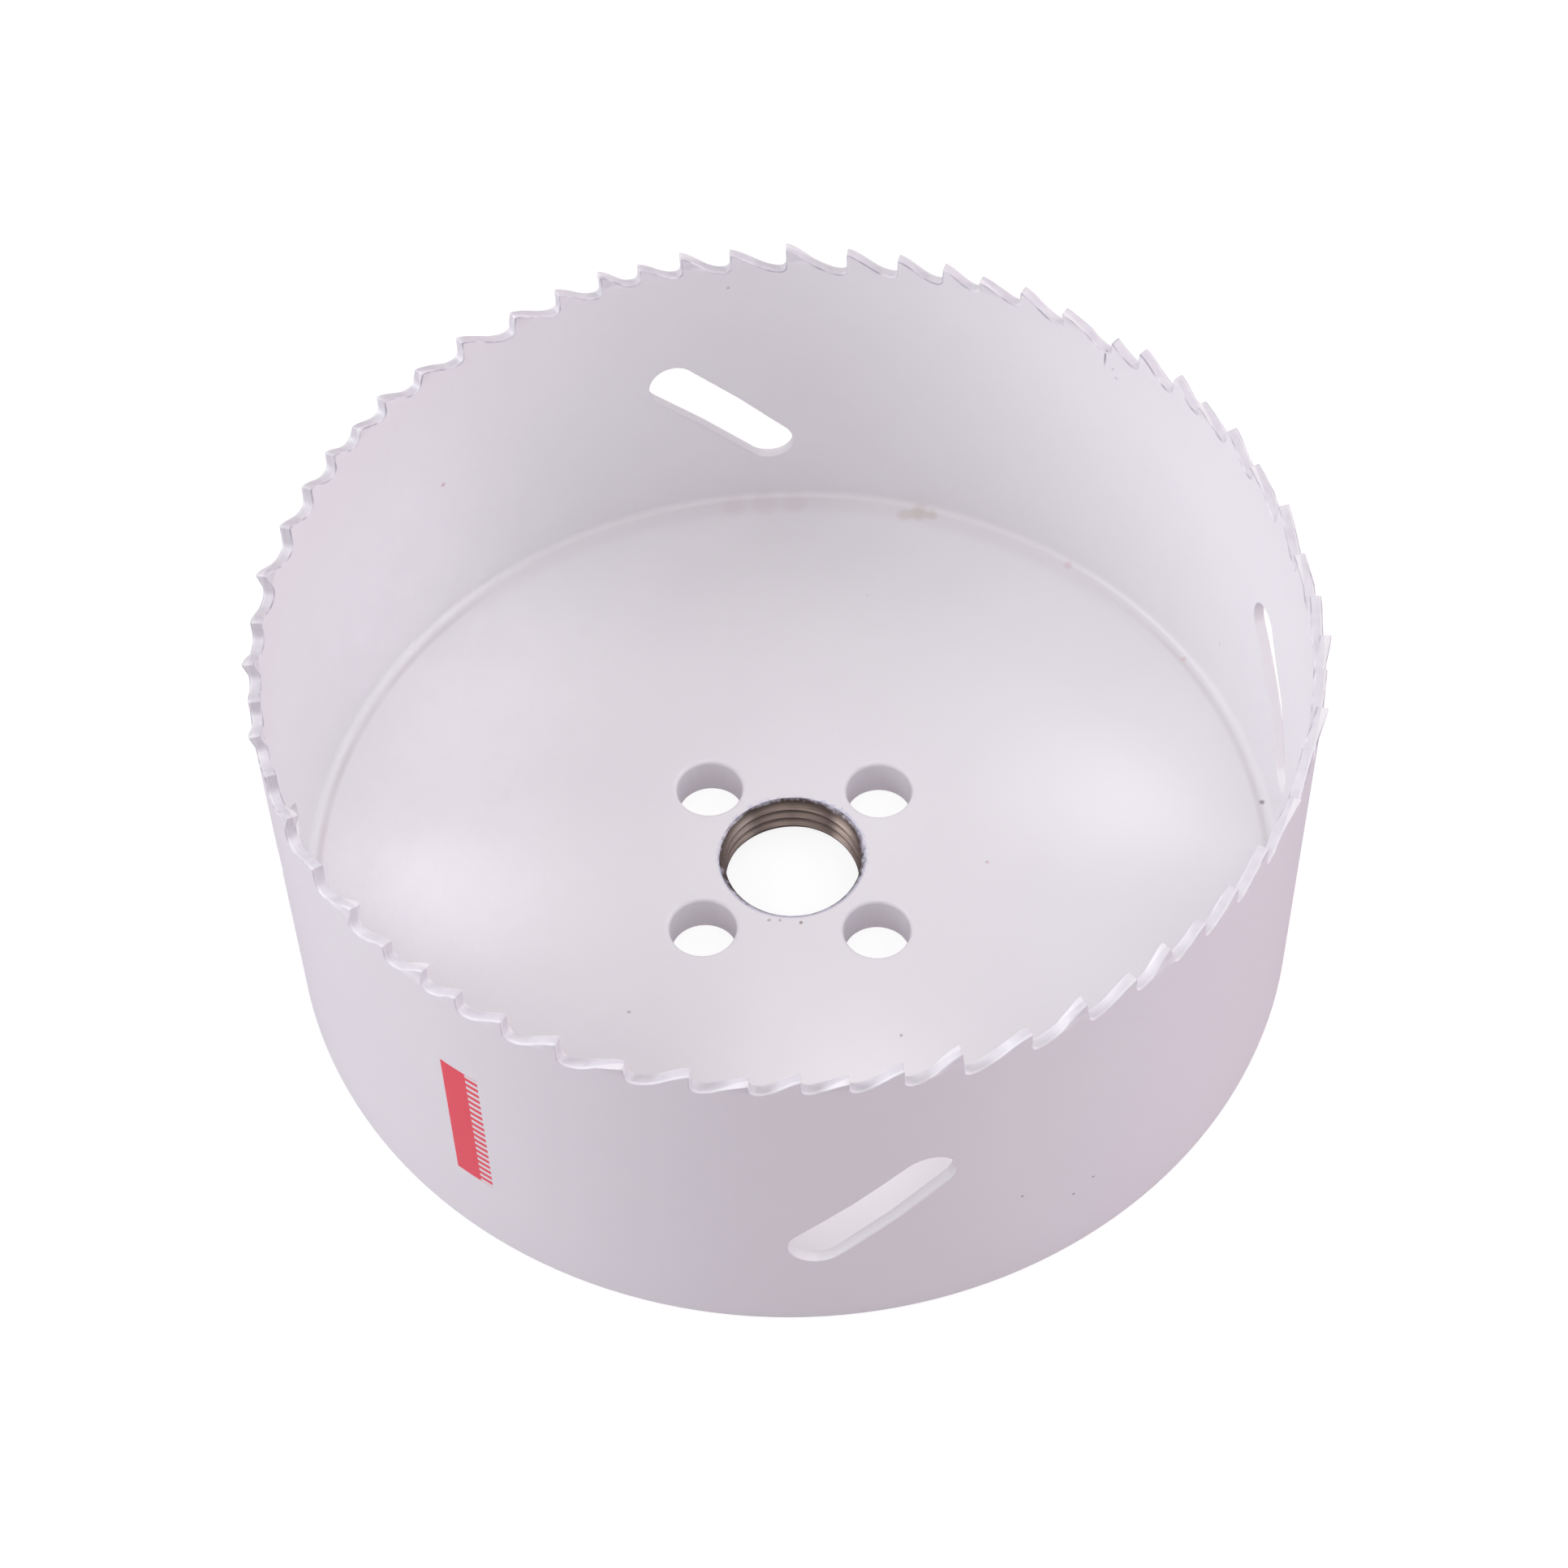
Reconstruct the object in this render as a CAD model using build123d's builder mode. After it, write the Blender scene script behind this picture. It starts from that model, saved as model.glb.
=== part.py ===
from build123d import *
import os
from math import cos, pi, radians, sin

# Bi-metal hole saw: a toothed steel band rolled into a cup, with a thick threaded disc welded into
# its lower end. Millimetres, +Z towards the teeth, origin at the centre of the disc's underside.
# Places round the band are azimuths in degrees, counted anticlockwise seen from the teeth, with 0
# on +X. Places along the band are lengths of strip, counted clockwise from its butt weld.

# Size of the saw
cutting_diameter = 108.0  # the hole it cuts, over the teeth that are set outwards
overall_height = 44.0  # underside of the disc to the tooth tips
wall_thickness = 1.2
foot_chamfer = 0.7  # outer lower edge of the band

# Teeth: seven spaces that get wider and narrower, and repeat. The saw cuts anticlockwise.
pitch_cycle = (4.36, 4.72, 5.36, 6.07, 6.64, 5.63, 5.07)
depth_per_pitch = 0.45  # a wide space has a deep gullet
gullet_radius = 0.65  # at the foot of the cutting face
relief_angle = 20.0  # fall of the back, just behind the tip
tip_land = 0.15  # flat left on each tip
floor_share = 0.30  # share of a space over which the gullet's floor stays level
back_share = 0.34  # share of a space over which the back keeps its relief

# Set: three teeth lean inwards, then three lean outwards, with an upright one between each two.
set_cycle = (0, -1, 0, -1, 0, -1, 0, 1, 0, 1, 0, 1, 0, 0)
tooth_set = 0.5  # lean of a set tooth at its tip
set_share = 0.9  # share of the shallowest tooth that leans

# Butt weld of the band
weld_azimuth = 51.0
weld_cut = 1.2  # how much of its first tooth the strip lost when it was cut to length
weld_trim = 0.65  # ground back from the weld, so the first tooth is short

# Slots that let the plug be pushed out
slot_azimuths = (12.0, 100.0, 190.0, 280.0)  # a little uneven next to the weld
slot_width = 5.5
slot_length = 20.7  # over its round ends
slot_slant = 45.0
slot_centre_height = 19.85

# Base disc
base_thickness = 5.15
weld_leg = 0.85  # fillet weld between the disc and the band
thread_major_diameter = 15.875  # 5/8 inch - 18 UNF, for the arbor
thread_depth = 0.6875  # from the thread's roots to its crests
pin_hole_diameter = 7.14  # 9/32 inch, for the arbor's 1/4 inch drive pins
pin_circle_diameter = 26.2
pin_hole_count = 4
pin_hole_azimuth = 45.0
edge_break = 0.3  # chamfer at the drive-pin holes' rims

# Worked out from the sizes above
outer_radius = cutting_diameter / 2 - tooth_set
inner_radius = outer_radius - wall_thickness
middle_radius = (outer_radius + inner_radius) / 2
strip_length = 2 * pi * middle_radius
thread_minor_diameter = thread_major_diameter - 2 * thread_depth
shallowest_tooth = depth_per_pitch * min(pitch_cycle)
bend_height = overall_height - set_share * shallowest_tooth
cut_clearance = wall_thickness + tooth_set  # how far a cutter runs past the band on each side


def azimuth_at(length):
    """Azimuth of the point this far along the strip."""
    return weld_azimuth - 360 * length / strip_length


def band_plane(azimuth, radius):
    """Plane that faces outwards at a radius of the band, with its x anticlockwise and its y up."""
    outwards = (cos(radians(azimuth)), sin(radians(azimuth)), 0)
    anticlockwise = (-outwards[1], outwards[0], 0)
    origin = (radius * outwards[0], radius * outwards[1], 0)
    return Plane(origin=origin, x_dir=anticlockwise, z_dir=outwards)


def tooth_places():
    """Tip of each tooth along the strip, with the tooth's set: -1 inwards, 0 upright, 1 outwards."""
    lead_in = 2  # teeth before the first whole cycle: the cut one and the one behind it
    places = []
    tip = -weld_cut
    number = -lead_in
    while tip < strip_length - min(pitch_cycle):
        places.append((tip, set_cycle[number % len(set_cycle)]))
        tip += pitch_cycle[number % len(pitch_cycle)]
        number += 1
    return places


teeth = tooth_places()
tips = [tip for tip, _ in teeth]
# Cutting face of each tooth, in the same order: the first was ground back from the weld.
faces = [weld_trim] + tips[1:]


def tooth_space(tip, face):
    """Cutter for the space behind one tooth's tip, up to the next tooth's cutting face."""
    pitch = face - tip
    floor = overall_height - depth_per_pitch * pitch
    back_end = pitch - tip_land
    back_length = back_share * pitch
    above = overall_height + tooth_set
    with BuildPart() as cutter:
        with BuildSketch(band_plane(azimuth_at(face), inner_radius - cut_clearance)):
            with BuildLine():
                Line((0, above), (0, floor + gullet_radius))
                CenterArc((gullet_radius, floor + gullet_radius), gullet_radius, 180, 90)
                Bezier(
                    (gullet_radius, floor),
                    (gullet_radius + floor_share * pitch, floor),
                    (
                        back_end - back_length * cos(radians(relief_angle)),
                        overall_height - back_length * sin(radians(relief_angle)),
                    ),
                    (back_end, overall_height),
                )
                Polyline((back_end, overall_height), (back_end, above), (0, above))
            make_face()
        extrude(amount=wall_thickness + 2 * cut_clearance)
    return cutter.part


def band_sector(start, end, lean=0, margin=0):
    """Sector of the band above the bend, between two gullets, leaning by its set.

    A margin makes it thicker and taller all round, so that it can clear the upright band away.
    """
    shift = lean * tooth_set
    top = overall_height + margin
    with BuildPart() as sector:
        with BuildSketch(Plane.XZ.rotated((0, 0, azimuth_at(end)))):
            Polygon(
                (inner_radius - margin, bend_height),
                (outer_radius + margin, bend_height),
                (outer_radius + shift + margin, top),
                (inner_radius + shift - margin, top),
                align=None,
            )
        revolve(axis=Axis.Z, revolution_arc=azimuth_at(start) - azimuth_at(end))
    return sector.part


# ---- saw_wall: the toothed band -------------------------------------------------------------
gullets = [face - gullet_radius for face in faces] + [strip_length + weld_trim - gullet_radius]
set_teeth = [
    (gullets[index], gullets[index + 1], lean) for index, (_, lean) in enumerate(teeth) if lean
]
places_of_set_teeth = [
    band_sector(start, end, margin=cut_clearance) for start, end, _ in set_teeth
]
leaning_teeth = [band_sector(start, end, lean) for start, end, lean in set_teeth]
spaces = [tooth_space(*ends) for ends in zip(tips, faces[1:] + [strip_length + weld_trim])]

with BuildPart() as saw_wall:
    with BuildSketch():
        Circle(outer_radius)
        Circle(inner_radius, mode=Mode.SUBTRACT)
    extrude(amount=overall_height)
    chamfer(saw_wall.edges().group_by(Axis.Z)[0].sort_by(SortBy.RADIUS)[-1], foot_chamfer)
    add(places_of_set_teeth, mode=Mode.SUBTRACT)
    add(leaning_teeth)
    add(spaces, mode=Mode.SUBTRACT)
    for azimuth in slot_azimuths:
        with BuildSketch(band_plane(azimuth, inner_radius - cut_clearance)):
            with Locations((0, slot_centre_height)):
                SlotOverall(slot_length, slot_width, rotation=slot_slant)
    extrude(amount=wall_thickness + 2 * cut_clearance, mode=Mode.SUBTRACT)

# ---- base_plate: the threaded disc ----------------------------------------------------------
with BuildPart() as base_plate:
    with BuildSketch(Plane.XZ):
        Polygon(
            (0, 0),
            (inner_radius, 0),
            (inner_radius, base_thickness + weld_leg),
            (inner_radius - weld_leg, base_thickness),
            (0, base_thickness),
            align=None,
        )
    revolve(axis=Axis.Z)
    with PolarLocations(pin_circle_diameter / 2, pin_hole_count, start_angle=pin_hole_azimuth):
        Hole(pin_hole_diameter / 2)
    pin_rims = base_plate.edges().filter_by(GeomType.CIRCLE)
    chamfer(
        pin_rims.filter_by(lambda edge: abs(edge.radius - pin_hole_diameter / 2) < 1e-6), edge_break
    )
    Hole(thread_minor_diameter / 2)
    bore_rims = base_plate.edges().filter_by(GeomType.CIRCLE)
    chamfer(
        bore_rims.filter_by(lambda edge: abs(edge.radius - thread_minor_diameter / 2) < 1e-6),
        thread_depth,
    )

saw_wall.part.label = "saw_wall"
base_plate.part.label = "base_plate"

os.makedirs("parts", exist_ok=True)
export_step(saw_wall.part, "parts/saw_wall.step")
export_step(base_plate.part, "parts/base_plate.step")
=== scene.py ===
"""Bi-metal hole saw: a painted toothed band with a threaded disc welded into its lower end.

Sizes are millimetres in the classes and become metres where a mesh is made. The saw stands with
its teeth up, and the origin is the centre of the disc's underside.
"""

import logging
from collections.abc import Iterator
from contextlib import contextmanager
from dataclasses import dataclass, field
from enum import Enum
from math import atan, cos, degrees, hypot, pi, radians, sin, tan

import bmesh
import bpy
from mathutils import Matrix, Vector


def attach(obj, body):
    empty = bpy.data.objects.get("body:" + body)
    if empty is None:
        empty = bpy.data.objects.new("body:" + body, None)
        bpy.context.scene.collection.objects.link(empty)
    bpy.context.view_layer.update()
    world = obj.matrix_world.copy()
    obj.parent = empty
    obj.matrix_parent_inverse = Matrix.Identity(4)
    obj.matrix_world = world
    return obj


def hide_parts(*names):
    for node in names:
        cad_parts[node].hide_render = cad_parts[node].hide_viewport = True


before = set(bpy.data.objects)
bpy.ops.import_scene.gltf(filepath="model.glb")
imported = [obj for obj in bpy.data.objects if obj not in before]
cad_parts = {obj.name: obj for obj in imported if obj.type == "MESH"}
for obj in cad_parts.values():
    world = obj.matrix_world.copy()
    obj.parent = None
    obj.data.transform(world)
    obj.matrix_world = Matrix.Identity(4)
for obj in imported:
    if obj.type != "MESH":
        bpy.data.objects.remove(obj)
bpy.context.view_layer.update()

MM = 0.001
LOG = logging.getLogger("hole_saw")

Point = tuple[float, float]


class Axis(Enum):
    """A direction of the frame."""

    X = (1.0, 0.0, 0.0)
    Y = (0.0, 1.0, 0.0)
    Z = (0.0, 0.0, 1.0)


class ToothSet(Enum):
    """Which way a tooth leans from the band."""

    INWARDS = -1
    UPRIGHT = 0
    OUTWARDS = 1


# ---- modelling ------------------------------------------------------------------------------


def select_only(*pieces: bpy.types.Object) -> None:
    """Select these pieces alone, the last one active.

    Args:
        pieces: The pieces to select.
    """
    bpy.ops.object.select_all(action="DESELECT")
    for piece in pieces:
        piece.select_set(True)
    bpy.context.view_layer.objects.active = pieces[-1]


@contextmanager
def edit_mode(piece: bpy.types.Object) -> Iterator[bmesh.types.BMesh]:
    """Open a piece in edit mode with nothing selected.

    Args:
        piece: The piece to shape.

    Yields:
        The mesh under edit, whose faces and edges are selected by place.
    """
    select_only(piece)
    bpy.ops.object.mode_set(mode="EDIT")
    bpy.ops.mesh.select_mode(type="VERT")
    bpy.ops.mesh.select_all(action="DESELECT")
    yield bmesh.from_edit_mesh(piece.data)
    bpy.ops.object.mode_set(mode="OBJECT")


def apply_modifier(piece: bpy.types.Object, kind: str, **settings) -> None:
    """Add a modifier to a piece and apply it.

    Args:
        piece: The piece that the modifier finishes.
        kind: Blender's name for the modifier.
        settings: The modifier's own settings.
    """
    select_only(piece)
    modifier = piece.modifiers.new(kind.title(), kind)
    for name, value in settings.items():
        setattr(modifier, name, value)
    bpy.ops.object.modifier_apply(modifier=modifier.name)


def draw_path(name: str, points: list[Vector], closed: bool = False) -> bpy.types.Object:
    """Draw a chain of edges by extruding one vertex from point to point.

    Args:
        name: Name of the new object.
        points: The points in millimetres.
        closed: Whether the last point joins the first.

    Returns:
        The new object, with its chain of edges.
    """
    bpy.ops.object.select_all(action="DESELECT")
    bpy.ops.mesh.primitive_plane_add(size=MM)
    piece = bpy.context.object
    piece.name = piece.data.name = name
    bpy.ops.object.mode_set(mode="EDIT")
    bpy.ops.mesh.select_mode(type="VERT")
    bpy.ops.mesh.select_all(action="SELECT")
    bpy.ops.mesh.merge(type="CENTER")
    bpy.ops.transform.translate(value=points[0] * MM)
    for start, end in zip(points, points[1:]):
        bpy.ops.mesh.extrude_region_move(TRANSFORM_OT_translate={"value": (end - start) * MM})
    if closed:
        bpy.ops.mesh.select_all(action="SELECT")
        bpy.ops.mesh.edge_face_add()
    bpy.ops.object.mode_set(mode="OBJECT")
    return piece


def copy_of(piece: bpy.types.Object) -> bpy.types.Object:
    """Copy a piece with a mesh of its own.

    Args:
        piece: The piece to copy.

    Returns:
        The copy.
    """
    select_only(piece)
    bpy.ops.object.duplicate(linked=False)
    return bpy.context.object


def settle(*pieces: bpy.types.Object) -> None:
    """Put each piece's place, turn and scale into its mesh.

    Args:
        pieces: The pieces to settle.
    """
    select_only(*pieces)
    bpy.ops.object.transform_apply(location=True, rotation=True, scale=True)


def join(name: str, pieces: list[bpy.types.Object]) -> bpy.types.Object:
    """Join pieces into one object.

    Args:
        name: Name of the joined object.
        pieces: The pieces, already settled.

    Returns:
        The joined object.
    """
    select_only(*pieces)
    bpy.ops.object.join()
    joined = bpy.context.object
    joined.name = joined.data.name = name
    return joined


def close_mesh(piece: bpy.types.Object, within: float = 0.002) -> None:
    """Merge a piece's doubles and turn its faces outwards.

    Args:
        piece: The piece to close.
        within: How near two vertices are to be one, in millimetres.
    """
    with edit_mode(piece):
        bpy.ops.mesh.select_all(action="SELECT")
        bpy.ops.mesh.remove_doubles(threshold=within * MM)
        bpy.ops.mesh.normals_make_consistent(inside=False)


def turn(name: str, profile: list[Point], steps: int) -> bpy.types.Object:
    """Turn a profile round the saw's axis, as on a lathe. One that starts on the axis ends there.

    Args:
        name: Name of the new object.
        profile: Radius and height of each corner, in millimetres.
        steps: Facets round the axis.

    Returns:
        The turned piece.
    """
    hollow = profile[0][0] > 0
    corners = profile + profile[:1] if hollow else profile
    piece = draw_path(name, [Vector((radius, 0, height)) for radius, height in corners])
    with edit_mode(piece):
        bpy.ops.mesh.select_all(action="SELECT")
        bpy.ops.mesh.spin(steps=steps, angle=2 * pi, center=(0, 0, 0), axis=Axis.Z.value)
    close_mesh(piece)
    return piece


def cut(piece: bpy.types.Object, cutter: bpy.types.Object) -> None:
    """Cut a piece with a cutter and throw the cutter away.

    Args:
        piece: The piece that is cut.
        cutter: A closed mesh.
    """
    apply_modifier(piece, "BOOLEAN", operation="DIFFERENCE", object=cutter, solver="EXACT")
    bpy.data.objects.remove(cutter)


def flared_cutter(
    name: str, radius: float, depth: float, rounding: float, steps: int
) -> bpy.types.Object:
    """Turn a cutter that leaves a round hole with soft rims in a plate.

    Args:
        name: Name of the cutter.
        radius: Radius of the hole.
        depth: Thickness of the plate, whose lower face is at height 0.
        rounding: Radius of the rims.
        steps: Facets round the hole.

    Returns:
        The cutter, round the saw's axis.
    """
    wide = radius + rounding
    profile = [
        (0.0, -depth),
        (wide, -depth),
        *arc((wide, rounding), rounding, 270, 180, 5),
        *arc((wide, depth - rounding), rounding, 180, 90, 5),
        (wide, 2 * depth),
        (0.0, 2 * depth),
    ]
    return turn(name, profile, steps)


def bezier(points: list[Point], steps: int) -> list[Point]:
    """Points along a Bezier curve, both ends included.

    Args:
        points: Its control points.
        steps: How many runs to divide it into.

    Returns:
        The points along the curve.
    """

    def at(share: float, control: list[Point]) -> Point:
        while len(control) > 1:
            control = [
                ((1 - share) * a[0] + share * b[0], (1 - share) * a[1] + share * b[1])
                for a, b in zip(control, control[1:])
            ]
        return control[0]

    return [at(step / steps, list(points)) for step in range(steps + 1)]


def arc(centre: Point, radius: float, start: float, end: float, steps: int) -> list[Point]:
    """Points along an arc, both ends included.

    Args:
        centre: Centre of the arc.
        radius: Its radius.
        start: Angle where it starts, in degrees.
        end: Angle where it ends, in degrees.
        steps: How many runs to divide it into.

    Returns:
        The points along the arc.
    """
    angles = [radians(start + (end - start) * step / steps) for step in range(steps + 1)]
    return [(centre[0] + radius * cos(a), centre[1] + radius * sin(a)) for a in angles]


# ---- materials ------------------------------------------------------------------------------


def linear(colour: str) -> tuple[float, float, float, float]:
    """Turn an sRGB hex colour to linear values.

    Args:
        colour: Six hex digits after a hash.

    Returns:
        Red, green, blue and an alpha of 1.
    """
    values = [int(colour[place : place + 2], 16) / 255 for place in (1, 3, 5)]
    light = [v / 12.92 if v <= 0.04045 else ((v + 0.055) / 1.055) ** 2.4 for v in values]
    return light[0], light[1], light[2], 1.0


def add_node(
    material: bpy.types.Material | bpy.types.World,
    kind: str,
    inputs: dict[str | int, object] | None = None,
    **settings,
) -> bpy.types.Node:
    """Add a node with its settings, and set or link its inputs.

    Args:
        material: The material or world that the node belongs to.
        kind: Blender's name for the node.
        inputs: A value or another node's output for each input, by name or number.
        settings: The node's own settings.

    Returns:
        The new node.
    """
    tree = material.node_tree
    node = tree.nodes.new(kind)
    for name, value in settings.items():
        setattr(node, name, value)
    for key, value in (inputs or {}).items():
        if isinstance(value, bpy.types.NodeSocket):
            tree.links.new(value, node.inputs[key])
        else:
            node.inputs[key].default_value = value
    return node


def empty_material(name: str) -> bpy.types.Material:
    """A material with no nodes yet.

    Args:
        name: Its name.

    Returns:
        The material.
    """
    material = bpy.data.materials.new(name)
    material.use_nodes = True
    material.node_tree.nodes.clear()
    return material


@dataclass(frozen=True)
class Speck:
    """A small mark in the paint: a grain of dust, a pinhole or a stain, by place and radius."""

    place: tuple[float, float, float]
    radius: float
    colour: str = "#8F8890"
    strength: float = 0.6


@dataclass(frozen=True)
class SprayedEnamel:
    """Baked white enamel sprayed on steel: satin gloss, and a fine orange peel from the spray."""

    name: str = "white_enamel_sprayed"
    colour: str = "#EDECEE"
    thin_colour: str = "#E9E7EA"
    cloud_size: float = 16.0
    roughness: float = 0.3
    peel_size: float = 0.9
    peel_depth: float = 0.0016
    ragged: float = 0.25
    dust_spacing: float = 8.0
    dust_radius: float = 0.13
    specks: tuple[Speck, ...] = ()

    def mask(
        self,
        material: bpy.types.Material,
        value: bpy.types.NodeSocket,
        full: float,
        none: float,
        strength: float = 1.0,
    ) -> bpy.types.NodeSocket:
        """A soft mask that falls from its strength to nothing as a value goes from one to another.

        Args:
            material: The material that it belongs to.
            value: The value to follow, in metres.
            full: Value in millimetres where the mask is whole.
            none: Value in millimetres where it ends.
            strength: The mask's strength where it is whole.

        Returns:
            The mask.
        """
        upwards = full > none
        low, high = (none, full) if upwards else (full, none)
        return add_node(
            material,
            "ShaderNodeMapRange",
            {
                "Value": value,
                "From Min": low * MM,
                "From Max": high * MM,
                "To Min": 0.0 if upwards else strength,
                "To Max": strength if upwards else 0.0,
            },
            interpolation_type="SMOOTHSTEP",
        ).outputs["Result"]

    def calculate(
        self, material: bpy.types.Material, operation: str, *values: object
    ) -> bpy.types.NodeSocket:
        """Do one sum on values or node outputs.

        Args:
            material: The material that it belongs to.
            operation: Blender's name for the sum.
            values: Numbers or outputs.

        Returns:
            The result.
        """
        inputs = dict(enumerate(values))
        return add_node(material, "ShaderNodeMath", inputs, operation=operation).outputs[0]

    def paint_over(
        self,
        material: bpy.types.Material,
        under: bpy.types.NodeSocket,
        mask: bpy.types.NodeSocket,
        colour: str,
    ) -> bpy.types.NodeSocket:
        """Lay a colour over another where a mask says.

        Args:
            material: The material that it belongs to.
            under: The colour below.
            mask: Where the new colour lies.
            colour: The new colour.

        Returns:
            The mixed colour.
        """
        inputs = {0: mask, 6: under, 7: linear(colour)}
        return add_node(material, "ShaderNodeMix", inputs, data_type="RGBA").outputs[2]

    def marks(
        self,
        material: bpy.types.Material,
        place: bpy.types.NodeSocket,
        colour: bpy.types.NodeSocket,
    ) -> bpy.types.NodeSocket:
        """The marks that only one piece has: none on plain enamel."""
        return colour

    def relief(
        self,
        material: bpy.types.Material,
        place: bpy.types.NodeSocket,
        height: bpy.types.NodeSocket,
    ) -> bpy.types.NodeSocket:
        """The relief that only one piece has: none on plain enamel."""
        return height

    def dust(
        self,
        material: bpy.types.Material,
        place: bpy.types.NodeSocket,
        colour: bpy.types.NodeSocket,
    ) -> bpy.types.NodeSocket:
        """Scatter a few faint grains of dust caught in the paint.

        Args:
            material: The material that they belong to.
            place: The place on the piece.
            colour: The colour below.

        Returns:
            The colour with its dust.
        """
        cells = add_node(
            material,
            "ShaderNodeTexVoronoi",
            {"Vector": place, "Scale": 1 / (self.dust_spacing * MM)},
        ).outputs
        chance = add_node(material, "ShaderNodeSeparateColor", {0: cells["Color"]}).outputs
        size = self.calculate(
            material, "MULTIPLY", chance[0], self.dust_radius / self.dust_spacing
        )
        inside = self.calculate(material, "LESS_THAN", cells["Distance"], size)
        some = self.calculate(material, "GREATER_THAN", chance[1], 0.55)
        seen = self.calculate(material, "MULTIPLY", inside, some)
        faint = self.calculate(material, "MULTIPLY", seen, 0.3)
        return self.paint_over(material, colour, faint, "#8D8690")

    def material(self) -> bpy.types.Material:
        """The enamel's material, with its clouding, dust, specks, marks and orange peel."""
        material = empty_material(self.name)
        place = add_node(material, "ShaderNodeTexCoord").outputs["Object"]
        cloud = add_node(
            material,
            "ShaderNodeTexNoise",
            {"Vector": place, "Scale": 1 / (self.cloud_size * MM), "Detail": 3.0},
        ).outputs["Fac"]
        colour = add_node(
            material,
            "ShaderNodeMix",
            {0: cloud, 6: linear(self.colour), 7: linear(self.thin_colour)},
            data_type="RGBA",
        ).outputs[2]
        colour = self.dust(material, place, colour)
        edge = add_node(
            material, "ShaderNodeTexNoise", {"Vector": place, "Scale": 1 / (0.5 * MM)}
        ).outputs["Color"]
        shift = (self.ragged * MM,) * 3
        ragged = add_node(
            material,
            "ShaderNodeVectorMath",
            {0: edge, 1: shift, 2: place},
            operation="MULTIPLY_ADD",
        ).outputs[0]
        for speck in self.specks:
            centre = [value * MM + self.ragged * MM / 2 for value in speck.place]
            away = add_node(
                material, "ShaderNodeVectorMath", {0: ragged, 1: centre}, operation="DISTANCE"
            ).outputs["Value"]
            spot = self.mask(material, away, 0.4 * speck.radius, 1.1 * speck.radius, speck.strength)
            colour = self.paint_over(material, colour, spot, speck.colour)
        colour = self.marks(material, place, colour)
        peel = add_node(
            material,
            "ShaderNodeTexNoise",
            {"Vector": place, "Scale": 1 / (self.peel_size * MM), "Detail": 2.0},
        ).outputs["Fac"]
        height = self.calculate(material, "MULTIPLY", peel, self.peel_depth * MM)
        height = self.relief(material, place, height)
        bump = add_node(material, "ShaderNodeBump", {"Height": height, "Distance": 1.0})
        shader = add_node(
            material,
            "ShaderNodeBsdfPrincipled",
            {
                "Base Color": colour,
                "Roughness": self.roughness,
                "Normal": bump.outputs["Normal"],
            },
        )
        add_node(material, "ShaderNodeOutputMaterial", {"Surface": shader.outputs["BSDF"]})
        return material


@dataclass(frozen=True)
class PrintedScale:
    """A plain red bar with even gaps down one side, printed on the band as a depth scale."""

    azimuth: float = 235.5
    height: float = 21.0
    width: float = 4.5
    length: float = 19.6
    gap_width: float = 1.5
    pitch: float = 1.0
    colour: str = "#F04656"


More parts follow.
